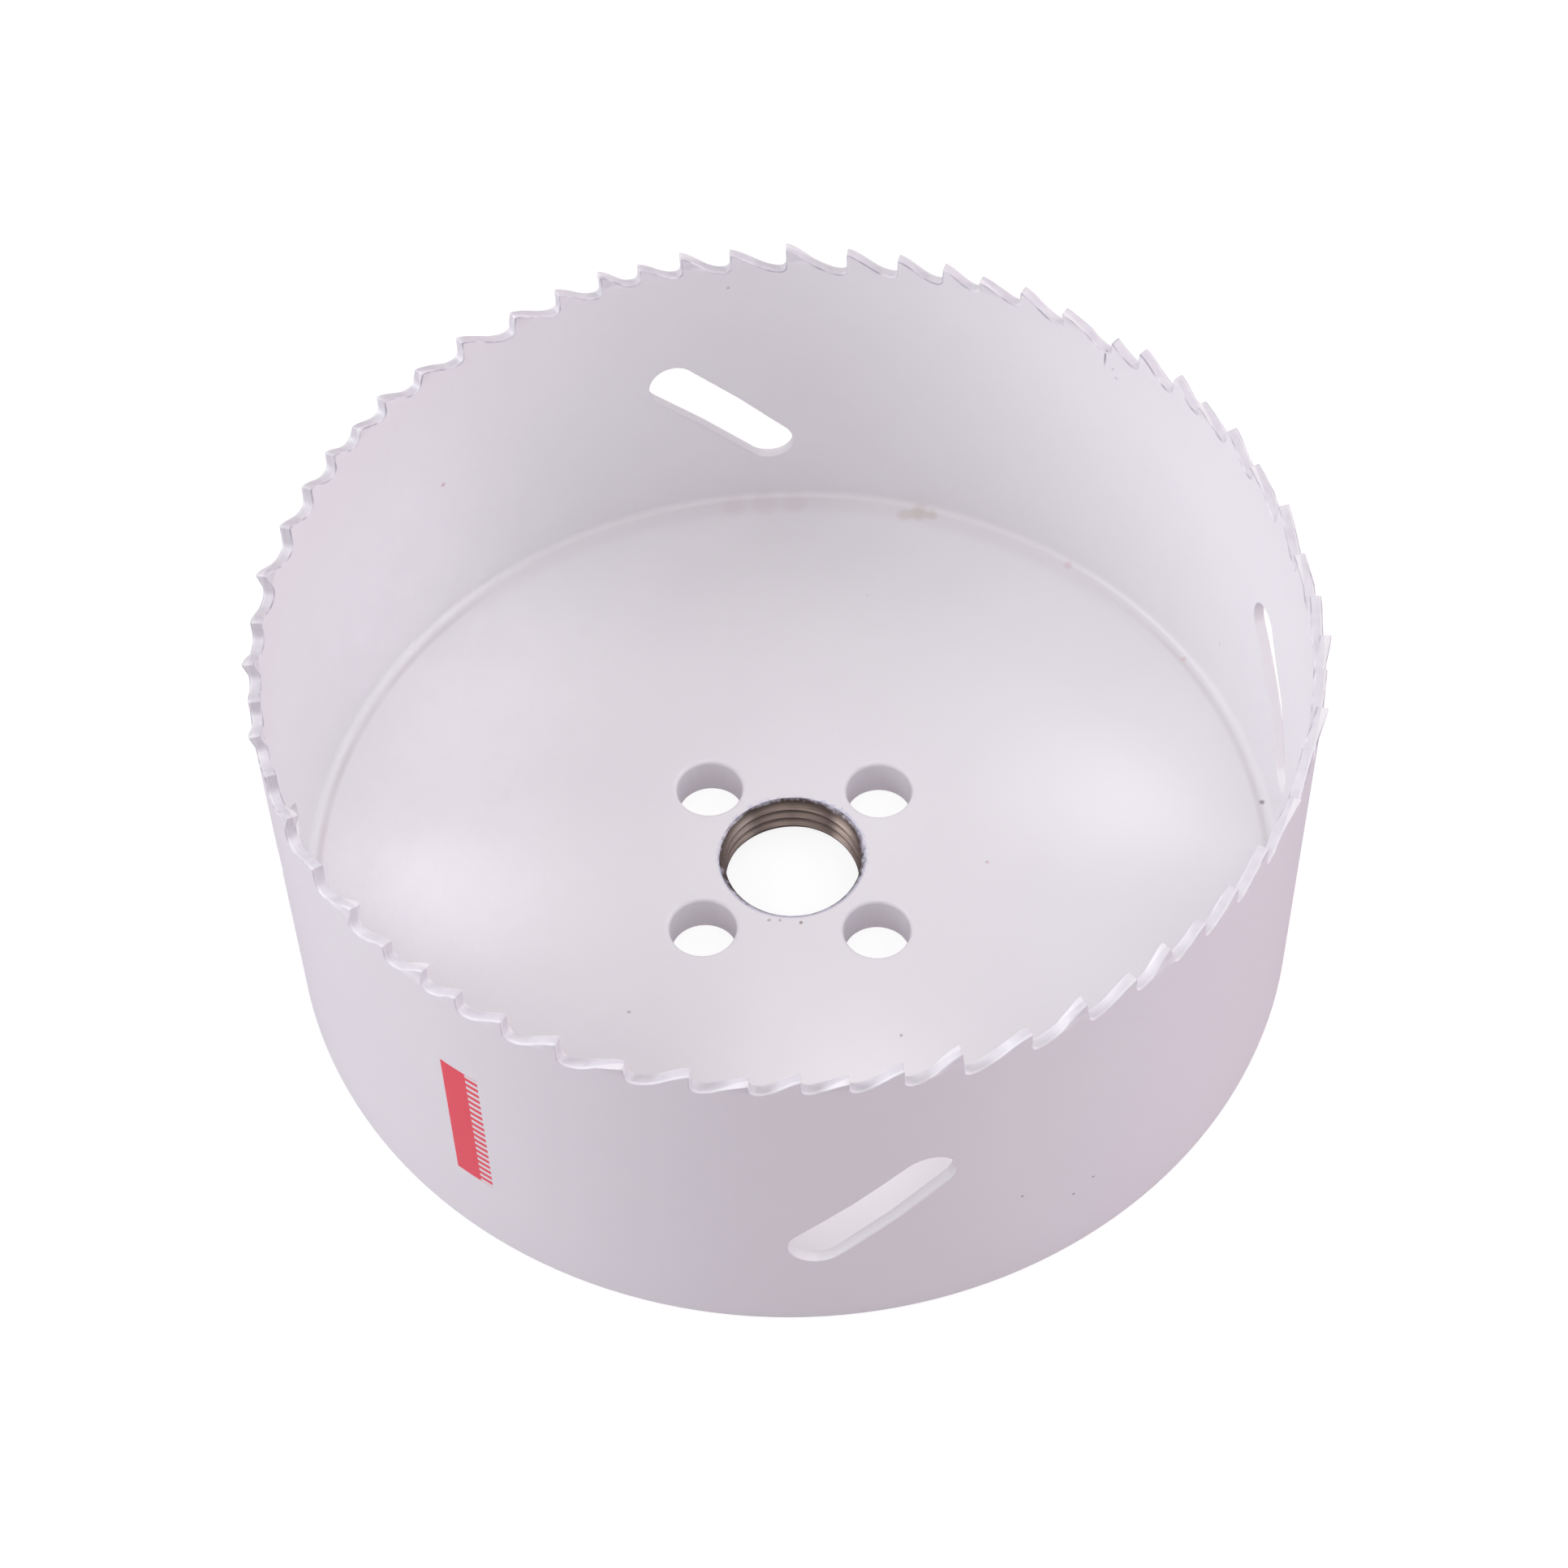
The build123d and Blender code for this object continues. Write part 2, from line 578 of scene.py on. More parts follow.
@dataclass(frozen=True)
class BandEnamel(SprayedEnamel):
    """The band's enamel: a closed crack and a faint ridge at the butt weld, greyer tooth edges that
    are partly thin enamel and partly painted shade, and a printed scale.
    """

    name: str = "white_enamel_on_band"
    radius: float = 53.5
    weld_azimuth: float = 51.0
    crack_width: float = 0.16
    crack_foot: float = 38.8
    teeth_foot: float = 41.2
    tooth_edge_shade_colour: str = "#BDBBC6"
    ridge_width: float = 1.1
    ridge_height: float = 0.02
    scale: PrintedScale = PrintedScale()

    def round_the_band(
        self, material: bpy.types.Material, place: bpy.types.NodeSocket, azimuth: float
    ) -> tuple[bpy.types.NodeSocket, bpy.types.NodeSocket, bpy.types.NodeSocket]:
        """Length round the band from an azimuth, height, and distance from the saw's axis.

        Args:
            material: The material that they belong to.
            place: The place on the piece.
            azimuth: Where the length starts, in degrees.

        Returns:
            The length, the height and the radius, in metres.
        """
        x, y, z = add_node(material, "ShaderNodeSeparateXYZ", {0: place}).outputs
        turned = radians(azimuth if azimuth <= 180 else azimuth - 360)
        angle = self.calculate(material, "ARCTAN2", y, x)
        angle = self.calculate(material, "SUBTRACT", angle, turned)
        length = self.calculate(material, "MULTIPLY", angle, self.radius * MM)
        flat = add_node(material, "ShaderNodeCombineXYZ", {0: x, 1: y}).outputs[0]
        away = add_node(material, "ShaderNodeVectorMath", {0: flat}, operation="LENGTH")
        return length, z, away.outputs["Value"]

    def marks(
        self,
        material: bpy.types.Material,
        place: bpy.types.NodeSocket,
        colour: bpy.types.NodeSocket,
    ) -> bpy.types.NodeSocket:
        """The crack at the weld, the greyer tooth edges (partly thin enamel, partly painted shade) and
        the printed scale.

        Args:
            material: The material that they belong to.
            place: The place on the band.
            colour: The colour below.

        Returns:
            The colour with its marks.
        """
        length, height, away = self.round_the_band(material, place, self.weld_azimuth)
        aside = self.calculate(material, "ABSOLUTE", length)
        line = self.mask(material, aside, self.crack_width / 2, self.crack_width)
        rising = self.mask(material, height, self.crack_foot + 1.4, self.crack_foot, 0.8)
        inner = self.mask(material, away, self.radius - 1.0, self.radius - 0.7)
        crack = self.calculate(material, "MULTIPLY", line, rising)
        crack = self.calculate(material, "MULTIPLY", crack, inner)
        colour = self.paint_over(material, colour, crack, "#837E8C")

        # Greyer edge faces on the teeth, most of which face up: partly thin enamel on the sawn edges,
        # partly painted shade that dims their tops.
        patches = add_node(
            material, "ShaderNodeTexNoise", {"Vector": place, "Scale": 1 / (1.6 * MM)}
        ).outputs["Fac"]
        body = self.mask(material, away, self.radius - 0.35, self.radius - 0.15, 0.7)
        teeth = self.mask(material, height, self.teeth_foot, self.teeth_foot - 1.0)
        sawn = self.mask(material, away, self.radius - 0.98, self.radius - 1.13)
        thin = self.calculate(material, "MULTIPLY", body, teeth)
        thin = self.calculate(material, "MULTIPLY", thin, sawn)
        thin = self.calculate(material, "MULTIPLY", thin, patches)
        colour = self.paint_over(material, colour, thin, self.tooth_edge_shade_colour)

        scale = self.scale
        length, height, away = self.round_the_band(material, place, scale.azimuth)
        outside = self.mask(material, away, self.radius - 0.25, self.radius - 0.35)
        aside = self.calculate(material, "ABSOLUTE", length)
        across = self.mask(material, aside, scale.width / 2 - 0.03, scale.width / 2 + 0.03)
        rise = self.calculate(material, "SUBTRACT", height, scale.height * MM)
        up = self.calculate(material, "ABSOLUTE", rise)
        along = self.mask(material, up, scale.length / 2 - 0.03, scale.length / 2 + 0.03)
        step = self.calculate(material, "PINGPONG", rise, scale.pitch / 2 * MM)
        gap = self.mask(material, step, scale.pitch * 0.3, scale.pitch * 0.24)
        right = scale.width / 2 - scale.gap_width
        beside = self.mask(material, length, right + 0.03, right - 0.03)
        cut_out = self.calculate(material, "MULTIPLY", gap, beside)
        kept = self.calculate(material, "SUBTRACT", 1.0, cut_out)
        field_mask = self.calculate(material, "MULTIPLY", across, along)
        field_mask = self.calculate(material, "MULTIPLY", field_mask, outside)
        printed = self.calculate(material, "MULTIPLY", field_mask, kept)
        return self.paint_over(material, colour, printed, scale.colour)

    def relief(
        self,
        material: bpy.types.Material,
        place: bpy.types.NodeSocket,
        height: bpy.types.NodeSocket,
    ) -> bpy.types.NodeSocket:
        """The low ridge that the ground butt weld leaves under the paint.

        Args:
            material: The material that it belongs to.
            place: The place on the band.
            height: The relief below.

        Returns:
            The relief with its ridge.
        """
        length, _, _ = self.round_the_band(material, place, self.weld_azimuth)
        aside = self.calculate(material, "ABSOLUTE", length)
        ridge = self.mask(material, aside, 0.0, self.ridge_width)
        raised = self.calculate(material, "MULTIPLY", ridge, self.ridge_height * MM)
        return self.calculate(material, "ADD", height, raised)


@dataclass(frozen=True)
class DiscEnamel(SprayedEnamel):
    """The disc's enamel: painted shade in the corner by the weld, and chipped round the bare bore."""

    name: str = "white_enamel_on_disc"
    corner_radius: float = 51.1
    corner_width: float = 0.6
    corner_shade_width: float = 2.2
    bore_radius: float = 7.95
    chip_width: float = 0.7

    def marks(
        self,
        material: bpy.types.Material,
        place: bpy.types.NodeSocket,
        colour: bpy.types.NodeSocket,
    ) -> bpy.types.NodeSocket:
        """Painted shade along the foot of the weld and at the back of the corner, and the chips round
        the bore.

        Args:
            material: The material that they belong to.
            place: The place on the disc.
            colour: The colour below.

        Returns:
            The colour with its marks.
        """
        x, y, _ = add_node(material, "ShaderNodeSeparateXYZ", {0: place}).outputs
        flat = add_node(material, "ShaderNodeCombineXYZ", {0: x, 1: y}).outputs[0]
        away = add_node(material, "ShaderNodeVectorMath", {0: flat}, operation="LENGTH")
        radius = away.outputs["Value"]
        patches = add_node(
            material, "ShaderNodeTexNoise", {"Vector": place, "Scale": 1 / (9 * MM)}
        ).outputs["Fac"]
        # Painted shade: a darker line along the foot of the weld fillet, broken into patches and left
        # off at the back.
        off = self.calculate(material, "SUBTRACT", radius, self.corner_radius * MM)
        off = self.calculate(material, "ABSOLUTE", off)
        line = self.mask(material, off, 0.05, self.corner_width, 0.5)
        front = self.mask(material, y, 26.0, 42.0)
        painted_crease_shade = self.calculate(material, "MULTIPLY", line, patches)
        painted_crease_shade = self.calculate(material, "MULTIPLY", painted_crease_shade, front)
        colour = self.paint_over(material, colour, painted_crease_shade, "#B4A6A6")
        # Painted shade: the corner at the back, next to the back wall, is darkened a little.
        wide = self.mask(material, off, 0.4, self.corner_shade_width)
        back = self.mask(material, y, 40.0, 22.0, 0.12)
        painted_corner_shade = self.calculate(material, "MULTIPLY", wide, back)
        colour = self.paint_over(material, colour, painted_corner_shade, "#CBBDC0")
        chips = add_node(
            material,
            "ShaderNodeTexNoise",
            {"Vector": place, "Scale": 1 / (0.5 * MM), "Detail": 3.0},
        ).outputs["Fac"]
        areas = add_node(
            material, "ShaderNodeTexNoise", {"Vector": place, "Scale": 1 / (4 * MM)}
        ).outputs["Fac"]
        reach = self.calculate(material, "MULTIPLY_ADD", chips, 1.6 * self.chip_width * MM, radius)
        reach = self.calculate(material, "MULTIPLY_ADD", areas, 1.6 * self.chip_width * MM, reach)
        start = self.bore_radius + 1.5 * self.chip_width
        chipped = self.mask(material, reach, start, start + 0.5)
        worn = self.mask(material, y, 5.5, -4.0, 0.75)
        chipped = self.calculate(material, "MULTIPLY", chipped, worn)
        return self.paint_over(material, colour, chipped, "#BFC3DA")


@dataclass(frozen=True)
class ThinEnamel(SprayedEnamel):
    """The same enamel where it drew back from a sharp edge: steel shows grey-lilac through it."""

    name: str = "white_enamel_thin_on_edges"
    bare_colour: str = "#A9A6B5"
    patch_size: float = 1.7

    def marks(
        self,
        material: bpy.types.Material,
        place: bpy.types.NodeSocket,
        colour: bpy.types.NodeSocket,
    ) -> bpy.types.NodeSocket:
        """The steel that shows through, more in some places than in others.

        Args:
            material: The material that it belongs to.
            place: The place on the edge.
            colour: The colour below.

        Returns:
            The colour with the steel showing through.
        """
        patches = add_node(
            material,
            "ShaderNodeTexNoise",
            {"Vector": place, "Scale": 1 / (self.patch_size * MM), "Detail": 1.0},
        ).outputs["Fac"]
        bare = add_node(
            material,
            "ShaderNodeMapRange",
            {"Value": patches, "From Min": 0.35, "From Max": 0.65, "To Min": 0.05, "To Max": 0.85},
        ).outputs["Result"]
        _, y, _ = add_node(material, "ShaderNodeSeparateXYZ", {0: place}).outputs
        away = self.mask(material, y, -15.0, -42.0, 0.75)
        kept = self.calculate(material, "ADD", away, 0.25)
        bare = self.calculate(material, "MULTIPLY", bare, kept)
        return self.paint_over(material, colour, bare, self.bare_colour)


@dataclass(frozen=True)
class TappedSteel:
    """Bare mild steel cut with a tap: grey-brown, dragged along the thread, with painted shade in the
    thread roots, enamel at its mouth.
    """

    name: str = "bare_steel_tapped"
    colour: str = "#94867E"
    dark_colour: str = "#382E29"
    root_shade_colour: str = "#3A322E"
    enamel_colour: str = "#DADAE6"
    roughness: float = 0.26
    root_radius: float = 7.9
    crest_radius: float = 7.45
    drag_width: float = 0.12
    drag_length: float = 6.0
    mouth_height: float = 4.95

    def material(self) -> bpy.types.Material:
        """The bare steel's material."""
        material = empty_material(self.name)
        place = add_node(material, "ShaderNodeTexCoord").outputs["Object"]
        x, y, z = add_node(material, "ShaderNodeSeparateXYZ", {0: place}).outputs
        angle = add_node(material, "ShaderNodeMath", {0: y, 1: x}, operation="ARCTAN2").outputs[0]
        round_bore = add_node(
            material,
            "ShaderNodeMath",
            {0: angle, 1: 8 / self.drag_length},
            operation="MULTIPLY",
        ).outputs[0]
        up_bore = add_node(
            material,
            "ShaderNodeMath",
            {0: z, 1: 1 / (self.drag_width * MM)},
            operation="MULTIPLY",
        ).outputs[0]
        along = add_node(material, "ShaderNodeCombineXYZ", {0: round_bore, 1: up_bore}).outputs[0]
        drag = add_node(
            material, "ShaderNodeTexNoise", {"Vector": along, "Scale": 1.0, "Detail": 3.0}
        ).outputs["Fac"]
        steel = add_node(
            material,
            "ShaderNodeMix",
            {0: drag, 6: linear(self.dark_colour), 7: linear(self.colour)},
            data_type="RGBA",
        ).outputs[2]
        flat = add_node(material, "ShaderNodeCombineXYZ", {0: x, 1: y}).outputs[0]
        away = add_node(material, "ShaderNodeVectorMath", {0: flat}, operation="LENGTH")
        # Painted shade: the steel darkens towards the thread roots.
        painted_root_shade = add_node(
            material,
            "ShaderNodeMapRange",
            {
                "Value": away.outputs["Value"],
                "From Min": self.crest_radius * MM,
                "From Max": self.root_radius * MM,
                "To Max": 0.75,
            },
            interpolation_type="SMOOTHSTEP",
        ).outputs["Result"]
        steel = add_node(
            material,
            "ShaderNodeMix",
            {0: painted_root_shade, 6: steel, 7: linear(self.root_shade_colour)},
            data_type="RGBA",
        ).outputs[2]
        chips = add_node(
            material,
            "ShaderNodeTexNoise",
            {"Vector": place, "Scale": 1 / (0.9 * MM), "Detail": 2.0},
        ).outputs["Fac"]
        leaning = add_node(
            material, "ShaderNodeMath", {0: y, 1: -0.05, 2: z}, operation="MULTIPLY_ADD"
        ).outputs[0]
        ragged = add_node(
            material, "ShaderNodeMath", {0: chips, 1: 1.1 * MM, 2: leaning}, operation="MULTIPLY_ADD"
        ).outputs[0]
        painted = add_node(
            material,
            "ShaderNodeMapRange",
            {
                "Value": ragged,
                "From Min": (self.mouth_height + 0.2) * MM,
                "From Max": (self.mouth_height + 0.75) * MM,
            },
        ).outputs["Result"]
        colour = add_node(
            material,
            "ShaderNodeMix",
            {0: painted, 6: steel, 7: linear(self.enamel_colour)},
            data_type="RGBA",
        ).outputs[2]
        bare = add_node(
            material, "ShaderNodeMath", {0: 1.0, 1: painted}, operation="SUBTRACT"
        ).outputs[0]
        shader = add_node(
            material,
            "ShaderNodeBsdfPrincipled",
            {"Base Color": colour, "Roughness": self.roughness, "Metallic": bare},
        )
        add_node(material, "ShaderNodeOutputMaterial", {"Surface": shader.outputs["BSDF"]})
        return material


# ---- the toothed band -----------------------------------------------------------------------


@dataclass
class ToothedBand:
    """The strip: toothed, rounded by its paint, slotted, set, rolled and welded at its ends."""

    cutting_diameter: float = 108.0
    height: float = 44.0
    thickness: float = 1.2
    foot_round: float = 0.8
    pitch_cycle: tuple[float, ...] = (4.36, 4.72, 5.36, 6.07, 6.64, 5.63, 5.07)
    depth_per_pitch: float = 0.45
    gullet_radius: float = 0.65
    relief_angle: float = 20.0
    tip_land: float = 0.15
    floor_share: float = 0.30
    back_share: float = 0.34
    rake_lean: float = 0.6
    tip_round: float = 0.2
    set_cycle: tuple[int, ...] = (0, -1, 0, -1, 0, -1, 0, 1, 0, 1, 0, 1, 0, 0)
    tooth_set: float = 0.5
    set_share: float = 0.9
    weld_azimuth: float = 51.0
    weld_cut: float = 1.2
    weld_trim: float = 0.65
    slot_azimuths: tuple[float, ...] = (12.0, 100.0, 190.0, 280.0)
    slot_width: float = 5.5
    slot_length: float = 20.7
    slot_slant: float = 45.0
    slot_height: float = 19.85
    edge_round: float = 0.13
    columns: int = 180
    specks: tuple[Speck, ...] = (
        Speck((-38.79, 35.08, 25.54), 0.35, "#C98F97"),
        Speck((33.76, 39.95, 39.35), 0.25, "#9A96A2", 0.4),
        Speck((34.15, 39.61, 38.33), 0.3, "#A9A5B5", 0.4),
        Speck((46.48, 23.98, 12.87), 0.22, "#B5AEB6", 0.45),
        Speck((-7.75, 51.72, 39.3), 0.25, "#A8A0AC"),
        Speck((23.85, -47.89, 15.33), 0.2, "#5F5A66", 0.8),
        Speck((29.09, -44.9, 10.9), 0.2, "#5F5A66", 0.8),
        Speck((30.99, -43.61, 12.06), 0.2, "#6A646E", 0.7),
    )
    name: str = "toothed_band"
    teeth: list[tuple[float, float, ToothSet]] = field(default_factory=list)

    def __post_init__(self) -> None:
        """Work out the strip's length and where its teeth stand."""
        self.outer_radius = self.cutting_diameter / 2 - self.tooth_set
        self.middle_radius = self.outer_radius - self.thickness / 2
        self.strip_length = 2 * pi * self.middle_radius
        self.bend_height = self.height - self.set_share * self.depth_per_pitch * min(
            self.pitch_cycle
        )
        tip, number = -self.weld_cut, -2
        while tip < self.strip_length - min(self.pitch_cycle):
            lean = ToothSet(self.set_cycle[number % len(self.set_cycle)])
            self.teeth.append((tip, self.weld_trim if number == -2 else tip, lean))
            tip += self.pitch_cycle[number % len(self.pitch_cycle)]
            number += 1

    def along(self, length: float) -> float:
        """Place of a length of strip on the flat strip's own axis, anticlockwise."""
        return self.strip_length / 2 - length

    def space(self, pitch: float) -> list[Point]:
        """Outline from behind one tip, through the gullet and over the next tip.

        Args:
            pitch: Distance from the tip to the next tooth's cutting face.

        Returns:
            Distance from the tip and height of each point.
        """
        floor = self.height - self.depth_per_pitch * pitch
        foot = floor + self.gullet_radius
        back_end, back = pitch - self.tip_land, self.back_share * pitch
        relief = radians(self.relief_angle)
        slope = bezier(
            [
                (back_end, self.height),
                (back_end - back * cos(relief), self.height - back * sin(relief)),
                (self.gullet_radius + self.floor_share * pitch, floor),
                (self.gullet_radius, floor),
            ],
            12,
        )
        gullet = arc((self.gullet_radius, foot), self.gullet_radius, 270, 180, 7)[1:]
        outline = [(pitch - x, z) for x, z in slope + gullet]
        return outline + self.tip(pitch, foot, self.height, 0.0)

    def tip(self, face: float, foot: float, top: float, slope: float) -> list[Point]:
        """Outline up a tooth's cutting face and over its rounded tip.

        Args:
            face: Place of the cutting face.
            foot: Height where the cutting face starts.
            top: Height of the tip.
            slope: Fall of the back just behind the tip.

        Returns:
            Place and height of each point.
        """
        lean = tan(radians(self.rake_lean))
        rise = [z for z in (self.bend_height, top - self.tip_round) if z > foot]
        crown = (face + lean * (top - foot), top + slope * self.tip_land)
        end = (face + self.tip_land, top)
        start = (face + lean * (rise[-1] - foot), rise[-1])
        return [(face + lean * (z - foot), z) for z in rise[:-1]] + bezier([start, crown, end], 3)

    def outline(self) -> list[Point]:
        """The toothed edge of the whole strip, from its weld round to its weld."""
        tips = [tip for tip, _, _ in self.teeth]
        ends = tips[1:] + [self.strip_length + self.weld_trim]
        spaces = [
            [(tip + offset, z) for offset, z in self.space(end - tip)]
            for tip, end in zip(tips, ends)
        ]
        first, last = spaces[0], spaces[-1]
        crown = self.weld_trim + self.tip_land
        behind = next(index for index, point in enumerate(first) if point[0] > crown)
        (x0, z0), (x1, z1) = first[behind - 1], first[behind]
        slope = (z0 - z1) / (x1 - x0)
        top = z0 - slope * (crown - x0)
        gullet = [(s - self.strip_length, z) for s, z in last if s >= self.strip_length - 1e-6]
        foot = last[12][1] + self.gullet_radius
        rising = [point for point in gullet if point[1] <= foot + 1e-6]
        lead = rising + self.tip(self.weld_trim, foot, top, slope)
        points = lead + first[behind:]
        for space in spaces[1:-1]:
            points += space[1:]
        return points + last[1:13]

    def blank(self) -> bpy.types.Object:
        """The flat strip with its teeth milled, standing on its lower edge."""
        side = -self.thickness / 2
        path = [Vector((self.along(s), side, z)) for s, z in self.outline()]
        piece = draw_path(self.name, path)
        half = self.strip_length / 2 * MM
        with edit_mode(piece) as mesh:
            bpy.ops.mesh.select_all(action="SELECT")
            bpy.ops.mesh.extrude_region_move(
                TRANSFORM_OT_translate={"value": (0, 0, -self.height * MM)}
            )
            bpy.ops.transform.resize(value=(1, 1, 0), center_override=(0, 0, 0))
            bpy.ops.mesh.select_all(action="SELECT")
            bpy.ops.mesh.extrude_region_move(
                TRANSFORM_OT_translate={"value": (0, self.thickness * MM, 0)}
            )
            bpy.ops.mesh.select_all(action="SELECT")
            bpy.ops.mesh.normals_make_consistent(inside=False)
        self.open_ends(piece)
        with edit_mode(piece):
            bpy.ops.mesh.select_all(action="SELECT")
            bpy.ops.mesh.dissolve_limited(angle_limit=radians(0.05))
        return piece

    def open_ends(self, piece: bpy.types.Object) -> None:
        """Take the faces off the strip's two ends, which the weld joins.

        Args:
            piece: The flat strip.
        """
        half = self.strip_length / 2 * MM
        with edit_mode(piece):
            bpy.ops.mesh.select_mode(type="FACE")
            mesh = bmesh.from_edit_mesh(piece.data)
            for face in mesh.faces:
                face.select_set(abs(abs(face.calc_center_median().x) - half) < 1e-6)
            bpy.ops.mesh.delete(type="ONLY_FACE")

    def punch_slots(self, piece: bpy.types.Object) -> None:
        """Punch the slots through the strip, whose ends are closed for it.

        Args:
            piece: The flat strip.
        """
        with edit_mode(piece):
            bpy.ops.mesh.select_all(action="SELECT")
            bpy.ops.mesh.fill_holes(sides=0)
        cut(piece, self.punches())
        self.open_ends(piece)

    def punches(self) -> bpy.types.Object:
        """The punches that cut the slots through the flat strip."""
        reach = (self.slot_length - self.slot_width) / 2 * MM
        punch = flared_cutter(
            "punch", self.slot_width / 2, self.thickness, self.edge_round, 64
        )
        punch.rotation_euler.x = pi / 2
        punch.location.y = self.thickness / 2 * MM
        settle(punch)
        for side in (-1, 1):
            with edit_mode(punch) as mesh:
                for vertex in mesh.verts:
                    vertex.select_set(vertex.co.x * side > 1e-7)
                mesh.select_flush_mode()
                bpy.ops.transform.translate(value=(side * reach, 0, 0))
        punches = []
        for azimuth in self.slot_azimuths:
            length = (self.weld_azimuth - azimuth) % 360 / 360 * self.strip_length
            one = copy_of(punch)
            one.rotation_euler.y = -radians(self.slot_slant)
            one.location = (self.along(length) * MM, 0, self.slot_height * MM)
            punches.append(one)
        bpy.data.objects.remove(punch)
        settle(*punches)
        return join("punches", punches)

    def round_edges(self, piece: bpy.types.Object) -> None:
        """Round the strip's edges as the paint leaves them.

        Args:
            piece: The flat strip.
        """
        side = self.thickness / 2 * MM
        with edit_mode(piece):
            bpy.ops.mesh.select_mode(type="EDGE")
            mesh = bmesh.from_edit_mesh(piece.data)
            for edge in mesh.edges:
                edge.select_set(
                    all(v.co.z < 1e-6 and abs(v.co.y + side) < 1e-6 for v in edge.verts)
                )
            bpy.ops.mesh.bevel(offset=self.foot_round * MM, segments=5, affect="EDGES")
        apply_modifier(
            piece,
            "BEVEL",
            width=self.edge_round * MM,
            segments=3,
            limit_method="ANGLE",
            angle_limit=radians(50),
            loop_slide=False,
            use_clamp_overlap=False,
            material=1,
        )

    def divide(self, piece: bpy.types.Object) -> None:
        """Cut the strip into narrow columns, so that it can be rolled, and along its bend.

        Args:
            piece: The flat strip.
        """
        planes = [((0, 0, self.bend_height * MM), Axis.Z)]
        for column in range(1, self.columns):
            place = self.strip_length * (column / self.columns - 0.5) * MM
            planes.append(((place, 0, 0), Axis.X))
        with edit_mode(piece):
            for place, across in planes:
                bpy.ops.mesh.select_all(action="SELECT")
                bpy.ops.mesh.bisect(plane_co=place, plane_no=across.value, threshold=1e-7)

    def lean_teeth(self, piece: bpy.types.Object) -> None:
        """Set the teeth: the press shears each one over, above the bend.

        Args:
            piece: The flat strip.
        """
        faces = [face for _, face, _ in self.teeth] + [self.strip_length + self.weld_trim]
        gullets = [face - self.gullet_radius for face in faces]
        for vertex in piece.data.vertices:
            above = vertex.co.z / MM - self.bend_height
            if above <= 0:
                continue
            length = self.strip_length / 2 - vertex.co.x / MM
            for start, end, (_, _, lean) in zip(gullets, gullets[1:], self.teeth):
                if start <= length < end:
                    share = above / (self.height - self.bend_height)
                    vertex.co.y -= lean.value * self.tooth_set * share * MM
                    break

    def roll(self, piece: bpy.types.Object) -> None:
        """Roll the strip into a ring and close it at the weld.

        Args:
            piece: The flat strip, with its teeth set.
        """
        apply_modifier(
            piece, "SIMPLE_DEFORM", deform_method="BEND", deform_axis="Z", angle=2 * pi
        )
        piece.location.y = -self.middle_radius * MM
        settle(piece)
        piece.rotation_euler.z = radians(self.weld_azimuth - 90)
        settle(piece)
        close_mesh(piece)

    def build(self) -> bpy.types.Object:
        """Make the band.

        Returns:
            The finished band.
        """
        piece = self.blank()
        piece.data.materials.append(BandEnamel(specks=self.specks).material())
        piece.data.materials.append(ThinEnamel().material())
        self.round_edges(piece)
        self.divide(piece)
        self.punch_slots(piece)
        self.lean_teeth(piece)
        self.roll(piece)
        select_only(piece)
        bpy.ops.object.shade_smooth_by_angle(angle=radians(40))
        apply_modifier(piece, "WEIGHTED_NORMAL", mode="FACE_AREA", weight=50, keep_sharp=True)
        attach(piece, "root")
        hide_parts("saw_wall")
        LOG.info("%s: %d faces", piece.name, len(piece.data.polygons))
        return piece


# ---- the threaded disc ----------------------------------------------------------------------


